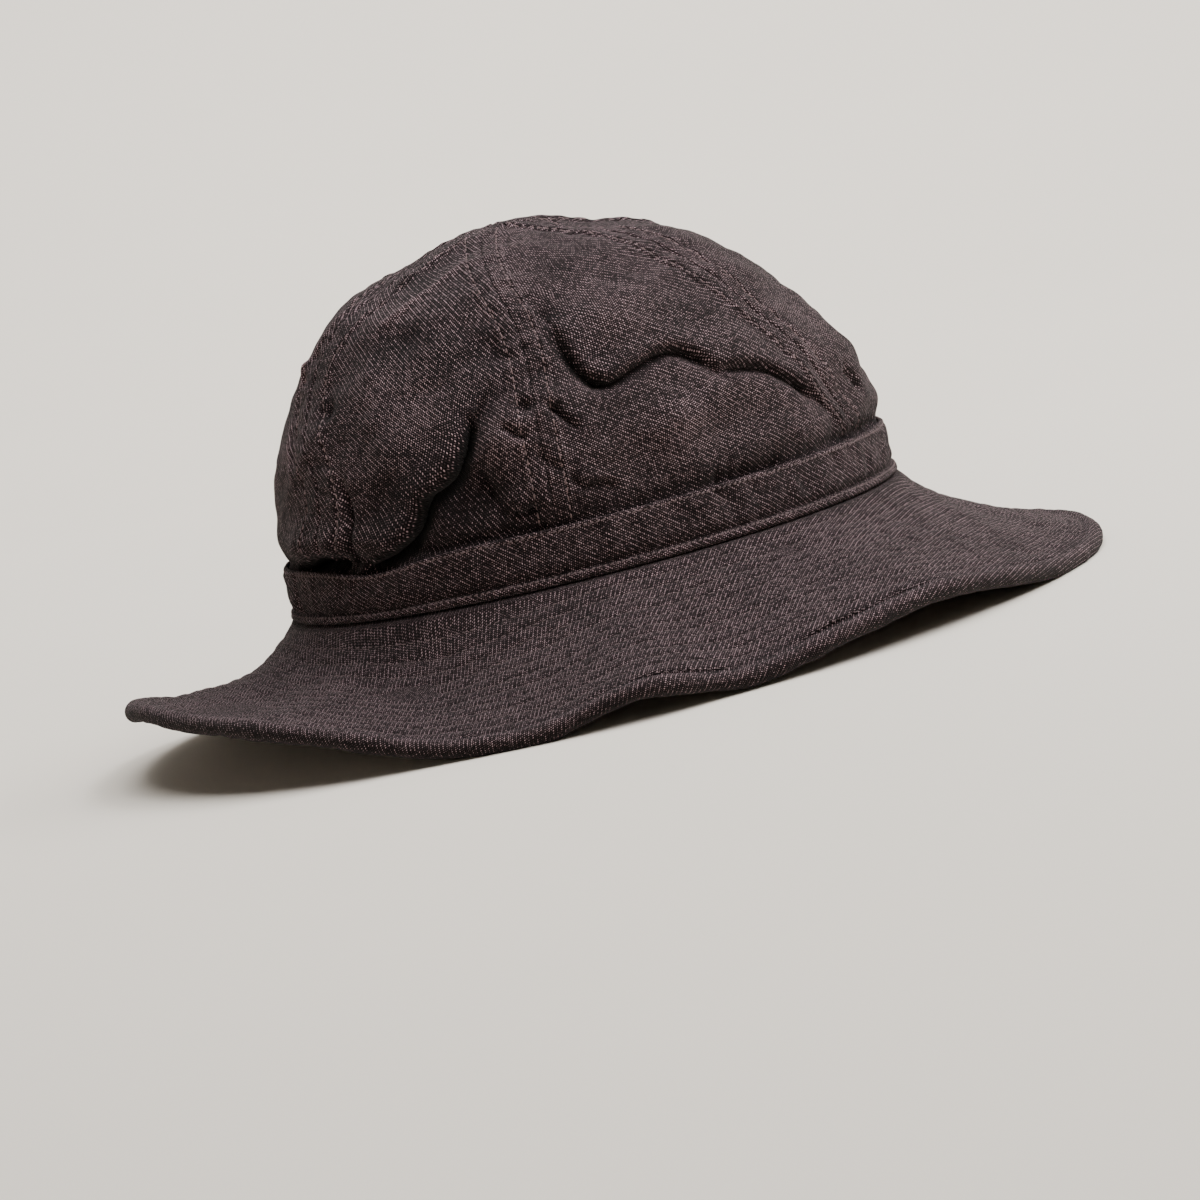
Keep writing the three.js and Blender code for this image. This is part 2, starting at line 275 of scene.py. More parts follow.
def denim(name, turn, spacing):
    make = Recipe(name)
    place = make.add("ShaderNodeUVMap", {"uv_map": "weave"}, {})
    wander = (make.noise(place, twill["wanderScale"], 1.0) - 0.5) * twill["wander"]
    turned = make.add("ShaderNodeMapping", {}, {"Vector": place, "Rotation": (0, 0, math.radians(turn))})
    u = make.add("ShaderNodeSeparateXYZ", {}, [turned], "X") / spacing + wander
    v = make.add("ShaderNodeSeparateXYZ", {}, [turned], "Y") / spacing - wander * twill["weftWander"]
    warp, weft = u.math("FLOOR"), v.math("FLOOR")
    acrossWarp, acrossWeft = u.math("FRACT"), v.math("FRACT")
    # the threads pass over each other one step further along in every row, which makes the slanting wales
    over = twill["over"]
    phase = (warp + weft).math("FLOORED_MODULO", 2 * over)
    onWarp = phase.math("GREATER_THAN", over - 0.5)
    onWeft = 1.0 - onWarp
    warpArch = ((phase - over + acrossWeft) * (math.pi / over)).math("SINE")
    weftArch = ((phase + acrossWarp) * (math.pi / over)).math("SINE")
    warpRound = (acrossWarp * math.pi).math("SINE")
    weftRound = (acrossWeft * math.pi).math("SINE")
    height = onWarp * warpArch * warpRound + onWeft * weftArch * weftRound * twill["weftHeight"]
    # a chance for each float of a thread, slubs along the warp and bars along the weft
    wale = ((warp + weft) / (2 * over)).math("FLOOR")
    spot = make.add("ShaderNodeCombineXYZ", {}, [warp * onWarp + weft * onWeft, wale, onWarp])
    chance = make.add("ShaderNodeTexWhiteNoise", {"noise_dimensions": "3D"}, {"Vector": spot})
    (slubAcross, slubAlong), (barAlong, barAcross) = twill["slubScale"], twill["barScale"]
    warpPlace = make.add("ShaderNodeCombineXYZ", {}, [warp * slubAcross, v * slubAlong, 0.0])
    weftPlace = make.add("ShaderNodeCombineXYZ", {}, [u * barAlong, weft * barAcross, 3.0])
    slubs, bars = make.noise(warpPlace, 1.0, 1.0), make.noise(weftPlace, 1.0, 1.0)
    fade = make.noise(make.objectPlace(), twill["fadeScale"], 3.0)
    # wear, and painted light and shade, laid on the cloth
    wornAndPaintedShade = make.add("ShaderNodeAttribute", {"attribute_name": "wearAndPaintedShading"}, {}, "Fac")
    # lighter on the threads' crests and darker in the gaps: painted highlight and painted shade
    lightness = height.math("POWER", twill["gapPower"]) * (twill["plain"] + twill["chance"] * chance)
    lightness = lightness + (slubs - 0.5) * twill["slubs"] + (bars - 0.5) * twill["bars"]
    lightness = lightness + (fade - 0.5) * twill["fade"] + wornAndPaintedShade * twill["wearAndPaintedShading"] - twill["darker"]
    low = (lightness * 2.0).math("MINIMUM", 1.0).math("MAXIMUM", 0.0)
    high = (lightness * 2.0 - 1.0).math("MINIMUM", 1.0).math("MAXIMUM", 0.0)
    relief = {
        "Strength": twill["bump"],
        "Distance": twill["relief"] * mm,
        "Height": height + (slubs - 0.5) * twill["slubBump"],
    }
    rough, smooth = twill["roughness"]
    make.surface({
        "Base Color": make.blend(high, make.blend(low, twill["dark"], twill["mid"]), twill["light"]),
        "Roughness": rough - height * (rough - smooth),
        "Normal": make.add("ShaderNodeBump", {}, relief),
        "Specular IOR Level": twill["gloss"],
        "Sheen Weight": twill["sheen"],
        "Sheen Roughness": twill["sheenRoughness"],
    })
    return make.material


threads = {
    "dark": (0.070, 0.048, 0.050, 1),
    "light": (0.200, 0.143, 0.145, 1),
    "crownLight": (0.32, 0.215, 0.215, 1),
    "fleckScale": 420.0,
    "roughness": 0.7,
    "gloss": 0.3,
}


def threadMaterial(name, light):
    make = Recipe(name)
    flecks = make.noise(make.objectPlace(), threads["fleckScale"], 1.0)
    make.surface({
        "Base Color": make.blend(flecks, threads["dark"], light),
        "Roughness": threads["roughness"],
        "Specular IOR Level": threads["gloss"],
    })
    return make.material


thread = threadMaterial("thread", threads["light"])
crownThread = threadMaterial("crown_thread", threads["crownLight"])
print("threads dyed")

stitch = {
    "sides": 4,
    "straight": 0.56,  # share of its length before the ends dip into the cloth
    "dip": 0.35,
    "flatness": 0.8,
    "straying": 0.08,  # share of the pitch that a stitch may lie off its place
    "lengths": (0.88, 1.08),
}
# each row's spacing, and its threads' length, thickness, height over the cloth and slant in degrees
sewing = {
    "crown": {"pitch": 2.7, "length": 2.0, "thickness": 0.50, "proud": 0.20, "slant": 0},
    "band": {"pitch": 1.9, "length": 1.5, "thickness": 0.62, "proud": 0.10, "slant": 24},
    "brim": {"pitch": 2.6, "length": 1.7, "thickness": 0.40, "proud": 0.12, "slant": 0},
}


def stitchRow(path, up, kind, seed):  # where the threads of one row lie, along a path on the cloth
    row = sewing[kind]
    draw = np.random.default_rng(seed)
    run = runningLength(path)
    middles = np.arange(row["pitch"] / 2, run[-1] - row["pitch"] / 2, row["pitch"])
    middles = middles + draw.uniform(-stitch["straying"], stitch["straying"], len(middles)) * row["pitch"]

    def at(values, where):
        return np.stack([np.interp(where, run, values[:, axis]) for axis in range(3)], 1)

    ups = unit(at(up, middles))
    alongs = unit(at(path, middles + row["length"] / 2) - at(path, middles - row["length"] / 2))
    slant = math.radians(row["slant"])
    return {
        "place": at(path, middles),
        "along": alongs * math.cos(slant) + np.cross(ups, alongs) * math.sin(slant),
        "up": ups,
        "length": row["length"] * draw.uniform(*stitch["lengths"], (len(middles), 1)),
        "thickness": np.full((len(middles), 1), row["thickness"]),
    }


def stitchMesh(name, rows, material):  # one thread with pointed tips, repeated for every stitch of the rows
    stitches = {part: np.concatenate([row[part] for row in rows]) for part in rows[0]}
    bpy.ops.object.select_all(action="DESELECT")
    sides, straight = stitch["sides"], stitch["straight"]
    bpy.ops.mesh.primitive_cylinder_add(vertices=sides, radius=1, depth=straight, end_fill_type="TRIFAN")
    piece = bpy.context.object
    piece.name = name
    piece.data.name = name
    corners = np.zeros(len(piece.data.vertices) * 3)
    piece.data.vertices.foreach_get("co", corners)
    corners = corners.reshape(-1, 3)
    tips = np.hypot(corners[:, 0], corners[:, 1]) < 0.1
    corners[tips, 1] = -stitch["dip"]
    corners[tips, 2] = 0.5 * np.sign(corners[tips, 2])
    repeat = piece.modifiers.new("repeat", "ARRAY")
    repeat.count = len(stitches["place"])
    bpy.ops.object.modifier_apply(modifier="repeat")
    alongs = unit(stitches["along"])
    sideways = unit(np.cross(stitches["up"], alongs))
    ups = unit(np.cross(alongs, sideways))
    half = stitches["thickness"] / 2
    sizes = (sideways * half, ups * half * stitch["flatness"], alongs * stitches["length"])
    spots = stitches["place"][:, None]
    for axis, size in enumerate(sizes):
        spots = spots + corners[None, :, axis, None] * size[:, None]
    piece.data.vertices.foreach_set("co", settled(spots.reshape(-1, 3)).ravel())
    piece.data.update()
    bpy.ops.object.shade_smooth()
    piece.data.materials.append(material)
    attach(piece, "root")


band = {
    "top": 17.3,
    "wall": 1.7,
    "join": 170,
    # one end stands out beside the join: the middle of that place along the band, how far it reaches level
    # and in all to each side, how far it stands out, and the rise from which it shows
    "overlap": {"middle": 2, "reach": (3, 5), "lift": 0.9, "from": 4},
    "sagAngle": 202,
    "sagWidth": 12,
    "sagDepth": 3,
    "sides": 720,
    "weaveTurn": -8,
    # the outer face from its turned top edge to the cord under its foot: (rise, how far it stands out)
    "profile": [
        (17.3, -1.3), (17.15, -0.85), (16.85, -0.55), (16.45, -0.45), (16.1, -0.62), (15.7, -0.5),
        (15.2, -0.34), (14.5, -0.28), (13, -0.2), (11, -0.05), (9, 0.1), (7.2, 0.2), (6.2, 0.12), (5.4, -0.1),
        (4.7, -0.45), (4.1, -0.8), (3.6, -1.0), (3.3, -0.8), (3.0, -0.2), (2.7, 0.3), (2.3, 0.62),
        (1.8, 0.78), (1.3, 0.7), (0.9, 0.42), (0.6, 0.0), (0.3, -0.5),
    ],
    "insideRises": [0.3, 4, 9, 14, 17.2],
    "insideStep": 2,  # between the inside rows in the weave
    "face": ((3.9, 6), (14, 17)),  # the rises over which the soft swells come and go
    "faceSwells": [(0.28, 13, 31), (0.18, 6, 32)],
    "edgeSwells": [(0.10, 4, 33)],
    # lighter where the turned top edge and the cord wear, and painted shade in the ditch above the cord
    "wearAndPaintedShading": [(0.5, 16.6, 0.7), (0.5, 2.0, 0.8), (-0.5, 4, 0.9)],
    # slanting dents: (angle, rise, how far they lean, depth)
    "dents": [
        (270.2, 14.2, 1.0, 0.9), (286.5, 12.6, 1.0, 0.5), (264, 10, 1.0, 0.5), (258, 12, 1.0, 0.4),
        (247, 11, 1.0, 0.4), (240, 9, 1.0, 0.4), (228, 11, 0.8, 0.35), (40, 11, -1, 0.5), (100, 10, 1, 0.5),
        (320, 11, -1, 0.4), (185, 8, 0.3, 0.5),
    ],
    "dentWidth": 1.3,
    "dentHeight": 3.2,
    "degree": 1.6,  # millimetres along the band
    # rows of stitches: (rise, how far the face stands out there, seed)
    "stitchRows": [(16.15, -0.6, 51), (2.75, 0.22, 52)],
}
crown = {
    "wall": 1.4,
    "space": 1.5,  # between the outer face and the head
    "lean": -5,
    "topAside": (-4, 2),  # how far the point where the panels meet lies off the middle
    "topFrom": 0.5,  # share of the climb from which it pulls the crown aside
    "rise": [0.3, 17.6, 30, 43.5, 56, 68, 79, 88.5, 95.8, 100.6, 103.8, 105],
    "back": [99.5, 99.4, 98.8, 96.6, 91.6, 83.5, 74.5, 64.0, 47.6, 29.0, 14.0, 0],
    "side": [84.5, 84.4, 84.0, 82.0, 77.0, 70.5, 62.5, 52.5, 38.8, 23.8, 11.8, 0],
    "front": [99.5, 99.3, 98.2, 95.4, 87.5, 79.0, 69.5, 57.8, 45.0, 27.0, 12.3, 0],
    # each seam's angle at the foot, a quarter, half and three quarters of the way up, and at the top
    "seams": [[2, 2, 2, 1.5, 0], [62, 62, 62, 61.5, 60], [122, 122, 122, 121.5, 120],
              [186, 190, 179.5, 186, 184], [239.8, 240.8, 241.6, 235.7, 226], [314, 303.7, 298, 296.7, 300]],
    "stitchAside": [6, 6, 6, 8.2, 4.9, 6],  # from each seam to its rows of stitches
    "stitchEnds": (1, 9),  # from the band and from the top
    "stitchSeed": 20,
    "weaveTurn": [3, -4, 2, 4, -3, 5],
    "weaveShift": 90,  # from panel to panel
    "letOut": 0.6,  # share of the cloth that a level fold takes up, and how many columns it is spread over
    "letOutColumns": 8,
    # the grid of a panel: closer columns in a zone beside the seams, and a few rows behind the band
    "columns": [100, 96, 100, 136, 144, 112],
    "zone": 9,
    "zoneMost": 0.6,  # share of half a panel
    "zoneColumns": 0.45,  # share of the columns
    "rowSpacing": 0.82,
    "hiddenRows": 5,
    "hiddenDepth": 3,
    "edgeTrim": 0.03,
    "lineSteps": 41,  # points on which a line across a panel is measured
}
panelCount = len(crown["seams"])
bandOutside = crown["space"] + head["seamGap"] + band["wall"]

# folds: how deep the crease is, how far it reaches under and over, how far off the hanging side swells
# most, the broad hollow beside the crease, how far the hanging side swells and slumps, whether it runs
# level, and its path of (angle, rise) with the hanging side on its left
foldColumns = ["depth", "under", "over", "reach", "broad", "swell", "slump", "level", "path"]
foldRows = [
    (10, 4.4, 1.4, 3.2, 3.0, 2.6, 3.0, 0, [(200.1, 16.4), (203.6, 18.9), (209.0, 22.2), (212.5, 26.2),
        (214.3, 31.3), (216.3, 35.2), (219.4, 37.2), (222.2, 40), (224.4, 45.2), (226.3, 50.2),
        (228.4, 54)]),
    (4.1, 3.3, 1.4, 2.8, 0, 1.3, 1.2, 1, [(249.3, 75), (250.2, 69), (251.7, 63.3), (253.4, 58.6),
        (255.6, 56.5), (258.1, 56.2), (261.1, 57.5), (265.4, 59.4), (269, 60.6), (272, 60.2), (274.8, 58.2),
        (277.2, 54.6), (279.2, 49.6)]),
    (3.6, 3.0, 1.4, 2.8, 0, 1.1, 1.1, 1, [(279.6, 50.9), (283.4, 49.8), (286.8, 48.7), (290, 46.6),
        (293, 43), (296.6, 38.8), (300, 33.4)]),
    (7.5, 5.0, 1.8, 4.5, 0, 1.8, 2.2, 0, [(171, 16.5), (177, 18.6), (183, 21.2), (188, 20.4),
        (193.5, 18.6)]),
    (2.6, 1.8, 1.6, 3, 0.6, 0.8, 0.6, 0, [(196, 17), (197.4, 24), (198.4, 31), (197.6, 41)]),
    (2.2, 3.4, 2.4, 4.5, 0, 0.5, 0.2, 0, [(231.8, 23), (230.6, 27), (229.6, 33), (228.4, 40)]),
    (2.4, 1.5, 1.2, 2.4, 0.3, 0.7, 0.5, 0, [(234.6, 49.6), (236.4, 47.4), (238.6, 44.6)]),
    (2.4, 1.5, 1.2, 2.4, 0.3, 0.7, 0.5, 0, [(244.2, 52.4), (246, 49), (248.2, 44.6)]),
    (2.4, 1.8, 1.4, 2.4, 0, 0.7, 0.4, 0, [(233.4, 24.6), (235, 23.4), (237.4, 25)]),
    (1.3, 1.4, 1.2, 2.2, 0.2, 0.5, 0.3, 0, [(239.6, 39.6), (241.2, 37.8), (243.4, 34)]),
    (2.0, 1.8, 1.4, 2.4, 0.2, 0.6, 0.4, 0, [(244.6, 30.6), (246.6, 27.6), (250, 27), (252.6, 24.6)]),
    (1.6, 2.0, 1.6, 3, 0.3, 0.5, 0.3, 0, [(314.5, 38), (317, 35), (318.4, 30)]),
    # two ridges, over a pressed-open seam and across a panel
    (-1.1, 1.3, 1.3, 3, 0, 0, 0, 0, [(180, 93), (177, 85), (172, 77), (170, 67), (172, 60), (177, 51),
        (180, 40)]),
    (-0.8, 1.6, 1.6, 3, 0, 0, 0, 0, [(202.6, 83.9), (209.7, 88.5), (216.2, 92), (223, 95), (228.8, 97.3)]),
    # three soft folds on the far side
    (2.9, 4.6, 2.2, 4.4, 1.4, 1.5, 0.8, 0, [(24, 68), (33, 60), (42, 57), (53, 42)]),
    (2.9, 4.6, 2.2, 4.4, 1.4, 1.5, 0.8, 0, [(80, 42), (90, 51), (99, 53), (108, 62)]),
    (2.9, 4.6, 2.2, 4.4, 1.4, 1.4, 0.8, 0, [(152, 22), (150, 33), (145, 44), (143, 60)]),
]
folds = [dict(zip(foldColumns, row)) for row in foldRows]
crease = {
    "pathSteps": 28,
    "taper": (-0.08, 0.16),  # shares of the path over which a fold fades in and out
    "hollowReach": 10,  # of the broad hollow, which starts a little way off the crease
    "hollowStart": 4,
    "lip": 1.3,  # how far off the slump is greatest, against how far the crease reaches over
}
# dimples and soft swells: (angle, rise, how far it sinks, its reach)
dimples = [
    (239.7, 53.5, 3.0, 2.4), (236.6, 24.3, 2.6, 2.4), (190.5, 63.6, 2.6, 3.8), (235.7, 87.7, 1.7, 2.8),
    (249.1, 78.1, 1.7, 3.0), (241.8, 70.1, 1.1, 2.0), (236.2, 69.7, 1.5, 3.6), (233, 73, 0.9, 5),
    (245.5, 51.3, 1.8, 2.0), (228.8, 33.9, 2.2, 4.6), (226, 28, 5.0, 9.5), (243.5, 61, 0.8, 5),
    (213, 80, 1.4, 5), (208, 34, 2.4, 12), (234, 44, -3.4, 8), (254.5, 57.4, 1.8, 2.4),
    (267, 37, -2.6, 10), (262, 72, -0.8, 9), (286, 60, -0.8, 8), (215, 60, -1.8, 13), (225, 97, -1.0, 7),
    (214.4, 89, -1.2, 8), (203.4, 85, -1.0, 8), (208, 77, 1.2, 7), (256, 93, 0.7, 6), (252, 87, -0.7, 6),
    (60, 34, 1.6, 6), (118, 44, 1.8, 6), (12, 40, 1.5, 6), (333, 52, 1.2, 6), (70, 75, 1.2, 8),
    (100, 30, -1.0, 9), (165, 45, -1.0, 9), (350, 70, -0.8, 10), (128, 66, -0.9, 10), (302, 70, 0.9, 7),
]


def softened(grid, reach):  # a grid of values blurred along its rows
    steps = np.arange(-2 * reach, 2 * reach + 1)
    weights = hump(steps, 0, reach)
    places = np.arange(grid.shape[1])
    moved = [grid[:, np.clip(places + step, 0, len(places) - 1)] for step in steps]
    return np.tensordot(weights / weights.sum(), moved, 1)


def crownBase(angle, climb):  # the smooth crown, where climb goes from 0 at its foot to 1 at the top
    place = climb * (len(crown["rise"]) - 1)
    forward, sideways = np.cos(np.radians(angle)), np.sin(np.radians(angle))
    along = np.where(forward > 0, columnAt(crown["front"], place), columnAt(crown["back"], place))
    rise = columnAt(crown["rise"], place)
    above = np.maximum(rise - band["top"], 0) / (crown["rise"][-1] - band["top"])
    top = smoothStep(climb, crown["topFrom"], 1)
    x = along * forward + crown["lean"] * above ** 2 + crown["topAside"][0] * top
    return np.stack([x, columnAt(crown["side"], place) * sideways + crown["topAside"][1] * top, rise], 1)


def crownNormal(angle, climb):
    nudge = 0.01
    level = np.minimum(climb, 1 - 2 * nudge)
    around = crownBase(angle + 1, level) - crownBase(angle - 1, level)
    upward = crownBase(angle, level + nudge) - crownBase(angle, np.maximum(level - nudge, 0))
    return unit(np.cross(around, upward))


def seamAngle(index, climb):
    turns, seam = divmod(index, panelCount)
    return columnAt(crown["seams"][seam], np.asarray(climb) * (len(crown["seams"][seam]) - 1)) + 360 * turns


climbSteps = np.linspace(0, 1, 600)
riseSteps = columnAt(crown["rise"], climbSteps * (len(crown["rise"]) - 1))


def climbAt(rise):
    return np.interp(rise, riseSteps, climbSteps)


def alongFold(fold, base, normal):  # how far each point lies off a fold, on which side, and how far along
    turns = np.linspace(0, len(fold["path"]) - 1, crease["pathSteps"])
    angles, rises = (columnAt(column, turns) for column in zip(*fold["path"]))
    path = crownBase(angles, climbAt(rises))
    nearest = np.full(len(base), np.inf)
    signed = np.zeros(len(base))
    passed = np.zeros(len(base))
    aside = np.zeros((len(base), 3))
    for number in range(len(path) - 1):
        leg = path[number + 1] - path[number]
        share = np.clip((base - path[number]) @ leg / (leg @ leg), 0, 1)
        away = base - path[number] - share[:, None] * leg
        reach = np.linalg.norm(away, axis=1)
        left = unit(np.cross(normal, leg[None]))
        closer = reach < nearest
        nearest = np.where(closer, reach, nearest)
        signed = np.where(closer, np.sign(np.sum(away * left, 1)) * reach, signed)
        passed = np.where(closer, (number + share) / (len(path) - 1), passed)
        aside = np.where(closer[:, None], left, aside)
    return nearest, signed, passed, aside


def foldMoves(base, normal):  # how the folds and dimples move each point, and what its wear and painted shading need of them
    moves = {"all": np.zeros((len(base), 3)), "level": np.zeros((len(base), 3))}
    moves.update({part: np.zeros(len(base)) for part in ("depth", "lift", "dimple")})
    for fold in folds:
        nearest, signed, passed, aside = alongFold(fold, base, normal)
        taper = smoothStep(passed, *crease["taper"]) * smoothStep(1 - passed, *crease["taper"])
        hanging, sunken = np.maximum(signed, 0), np.maximum(-signed, 0)
        off = np.where(signed > 0, hanging / fold["over"], sunken / fold["under"])
        depth = fold["depth"] * taper * np.exp(-(off ** 2))
        hollow = hump(sunken, 0, crease["hollowReach"]) * (1 - hump(nearest, 0, crease["hollowStart"]))
        swell = hanging / fold["reach"] * np.exp(1 - hanging / fold["reach"])
        lift = taper * (fold["swell"] * swell - fold["broad"] * hollow * (signed < 0)) - depth
        lip = hanging / (crease["lip"] * fold["over"])
        slump = fold["slump"] * taper * lip * np.exp(1 - lip)
        move = normal * lift[:, None] - aside * slump[:, None]
        moves["all"] += move
        moves["level"] += move * fold["level"]
        moves["depth"] += depth
        moves["lift"] += lift
    for angle, rise, sink, reach in dimples:
        middle = crownBase(np.array([angle]), climbAt([rise]))
        lift = -sink * np.exp(-np.sum((base - middle) ** 2, 1) / reach ** 2)
        moves["all"] += normal * lift[:, None]
        moves["dimple"] += lift
        moves["lift"] += lift
    return moves


overBand = {
    "fade": (-1, 9),  # rises over the band's top between which the crown is free to stand out
    "sink": (8, 1),  # and to sink: a rise over the brim, and one over the band's top
    "pinch": 1.8,  # how far the crown is drawn in over the band, and how it varies
    "pinchWaves": [(0.6, 30, 12)],
    "pinchRise": 1,
    "pinchReach": 2.2,
    "bulge": 0.9,
    "bulgeRise": 9,
    "bulgeReach": 5,
    "pleats": [(0.34, 4.5, 14)],
    "pleatStretch": (1, 1, 0.25),  # they run up the crown
    "pleatRise": 2.5,
    "pleatReach": 4,
    # the crown sags over the band at the back, and leaves a dark hollow there
    "hollowAngle": 187,
    "hollowWidth": 12,
    "hollowDepth": 1.5,
    "hollowBulge": 1.5,
}
seamRelief = {
    "allowance": 1.2,  # how far the pressed-open seam reaches past its stitches
    "step": (-0.4, 0.9),  # where its edge falls off
    "lift": 0.8,
    "stitchGroove": (0.58, 0.7),  # depth and width
    "seamGroove": (0.65, 0.6),
    "ripple": 0.09,  # between the stitches
    "rippleLength": 2.8,
    "rippleReach": 1.1,
    "puckers": [(0.18, 8, 9)],
    "puckerStretch": (1, 1, 2.0),  # they run around it
    "edgePuckers": [(0.26, 8, 7)],
    "puckerReach": 3.5,
    "topLift": 0.5,  # where the seams meet
    "topReach": 7,
}
crownSwells = [(0.5, 38, 5), (0.32, 16, 6), (0.10, 7, 8)]
crownWearAndPaintedShade = {
    "seamEdge": [(0.5, 1.2, 0.7)],
    "allowanceEdge": [(0.4, 0, 1.0)],
    "patches": [(0.10, 24, 11)],
    # lighter on the soft swells and darker in the dimples, by how far they lift or sink: painted light and
    # painted shade
    "dimples": 0.35,
    "dimpleMost": 2.5,
    "ridges": 1.2,
    # painted shade in the creases: (how much, the depths between which it comes), and a painted shadow over
    # the band
    "creases": [(0.3, 0.5, 3), (3.2, 2.0, 6.0)],
    "bandShade": [(0.9, 1.5, 3)],
}


def bandPull(base, angle):  # how the band draws the crown in, and what hangs over it
    over = base[:, 2] - band["top"]
    fromHollow = np.abs((angle - overBand["hollowAngle"] + 180) % 360 - 180)
    hollow = hump(fromHollow, 0, overBand["hollowWidth"])
    pinch = overBand["pinch"] + swellSets(base * [1, 1, 0], overBand["pinchWaves"])
    pinch = pinch + overBand["hollowDepth"] * hollow
    bulge = overBand["bulge"] + overBand["hollowBulge"] * hollow
    pleats = swellSets(base * overBand["pleatStretch"], overBand["pleats"])
    lift = -pinch * hump(over, overBand["pinchRise"] + hollow, overBand["pinchReach"] * (1 + hollow))
    lift += bulge * hump(over, overBand["bulgeRise"], overBand["bulgeReach"])
    return lift + pleats * hump(over, overBand["pleatRise"], overBand["pleatReach"])


def seamMoves(base, seamOffset, upPanel, aside):  # the pressed-open seam and its two rows of stitches
    edge = aside + seamRelief["allowance"]
    begins, ends = seamRelief["step"]
    allowance = 1 - smoothStep(seamOffset, edge + begins, edge + ends)
    puckers = swellSets(base * seamRelief["puckerStretch"], seamRelief["puckers"])
    relief = (seamRelief["lift"] + puckers) * allowance
    for middle, (depth, width) in ((aside, seamRelief["stitchGroove"]), (0, seamRelief["seamGroove"])):
        relief -= depth * hump(seamOffset, middle, width)
    ripple = np.sin(upPanel * 2 * math.pi / seamRelief["rippleLength"])
    relief += seamRelief["ripple"] * ripple * hump(seamOffset, aside, seamRelief["rippleReach"])
    edgePuckers = swellSets(base, seamRelief["edgePuckers"])
    return relief + edgePuckers * hump(seamOffset, edge, seamRelief["puckerReach"])


def wornAndPaintedShadePlaces(base, seamOffset, aside, moves):  # worn seam edges and ridges, painted light on swells and shade in dimples, painted shade in creases and over the band
    fromEdge = seamOffset - aside - seamRelief["allowance"]
    wearAndPaintedShading = humps(seamOffset, crownWearAndPaintedShade["seamEdge"]) + humps(fromEdge, crownWearAndPaintedShade["allowanceEdge"])
    wearAndPaintedShading = wearAndPaintedShading + swellSets(base, crownWearAndPaintedShade["patches"])
    most = crownWearAndPaintedShade["dimpleMost"]
    # painted light on the swells and painted shade in the dimples
    wearAndPaintedShading = wearAndPaintedShading + crownWearAndPaintedShade["dimples"] * np.clip(moves["dimple"], -most, most)
    wearAndPaintedShading = wearAndPaintedShading - crownWearAndPaintedShade["ridges"] * np.minimum(moves["depth"], 0)
    # painted shade in the creases by their depth, and a painted shadow just over the band
    shade = sum(much * smoothStep(moves["depth"], low, high) for much, low, high in crownWearAndPaintedShade["creases"])
    return wearAndPaintedShading, shade + humps(base[:, 2] - band["top"], crownWearAndPaintedShade["bandShade"])


def crownCloth(angle, climb, seamOffset, upPanel, aside):  # the finished outer face, and its wear and painted shading
    base = crownBase(angle, climb)
    normal = crownNormal(angle, climb)
    moves = foldMoves(base, normal)
    over = base[:, 2] - band["top"]
    standing = smoothStep(over, *overBand["fade"])
    low, high = overBand["sink"]
    sinking = smoothStep(base[:, 2], low, band["top"] + high)
    fromTop = np.linalg.norm(base - crownBase(np.zeros(1), np.ones(1)), axis=1)
    lift = swellSets(base, crownSwells) + bandPull(base, angle)
    lift = lift + seamRelief["topLift"] * hump(fromTop, 0, seamRelief["topReach"])
    lift = lift * np.where(lift > 0, standing, sinking)
    lift = lift + seamMoves(base, seamOffset, upPanel, aside) * standing
    folded = moves["all"] * np.where(moves["lift"] > 0, standing, sinking)[:, None]
    wearAndPaintedShading, shade = wornAndPaintedShadePlaces(base, seamOffset, aside, moves)
    return {
        "points": base + normal * lift[:, None] + folded,
        "normals": normal,
        # wear, less the painted shade
        "wearAndPaintedShading": wearAndPaintedShading * standing - shade,
        "level": base + moves["level"],
        "base": base,
    }


def panelColumns(width, columns):  # distances from one seam to the next, closer together beside the seams
    half = width / 2
    zone = min(crown["zone"], crown["zoneMost"] * half)
    split = crown["zoneColumns"]
    share = np.linspace(0, 1, columns // 2 + 1)
    near = np.where(share < split, zone * share / split, zone + (half - zone) * (share - split) / (1 - split))
    trim = min(crown["edgeTrim"], half / 2)
    near = trim + near * (half - trim) / max(half, 1e-6)
    return np.concatenate([near, width - near[-2::-1]])


def panelRows(index):  # heights along the middle of a panel, and how far up the crown they are
    middle = (seamAngle(index, climbSteps) + seamAngle(index + 1, climbSteps)) / 2
    height = runningLength(crownBase(middle, climbSteps))
    hiddenTop = np.interp(band["top"], riseSteps, height) - crown["hiddenDepth"]
    count = int((height[-1] - hiddenTop) / crown["rowSpacing"])
    hidden = np.linspace(0, hiddenTop, crown["hiddenRows"], endpoint=False)
    heights = np.concatenate([hidden, np.linspace(hiddenTop, height[-1], count)])
    return heights, np.interp(heights, height, climbSteps)


def panelLine(index, climb):  # (mm from the first seam, angle) across a panel at one height
    angles = np.linspace(seamAngle(index, climb), seamAngle(index + 1, climb), crown["lineSteps"])
    return runningLength(crownBase(angles, np.full(len(angles), climb))), angles


def rowSteps(grid):  # how far each point is from the one in the row below
    return np.linalg.norm(np.diff(grid, axis=0), axis=2)


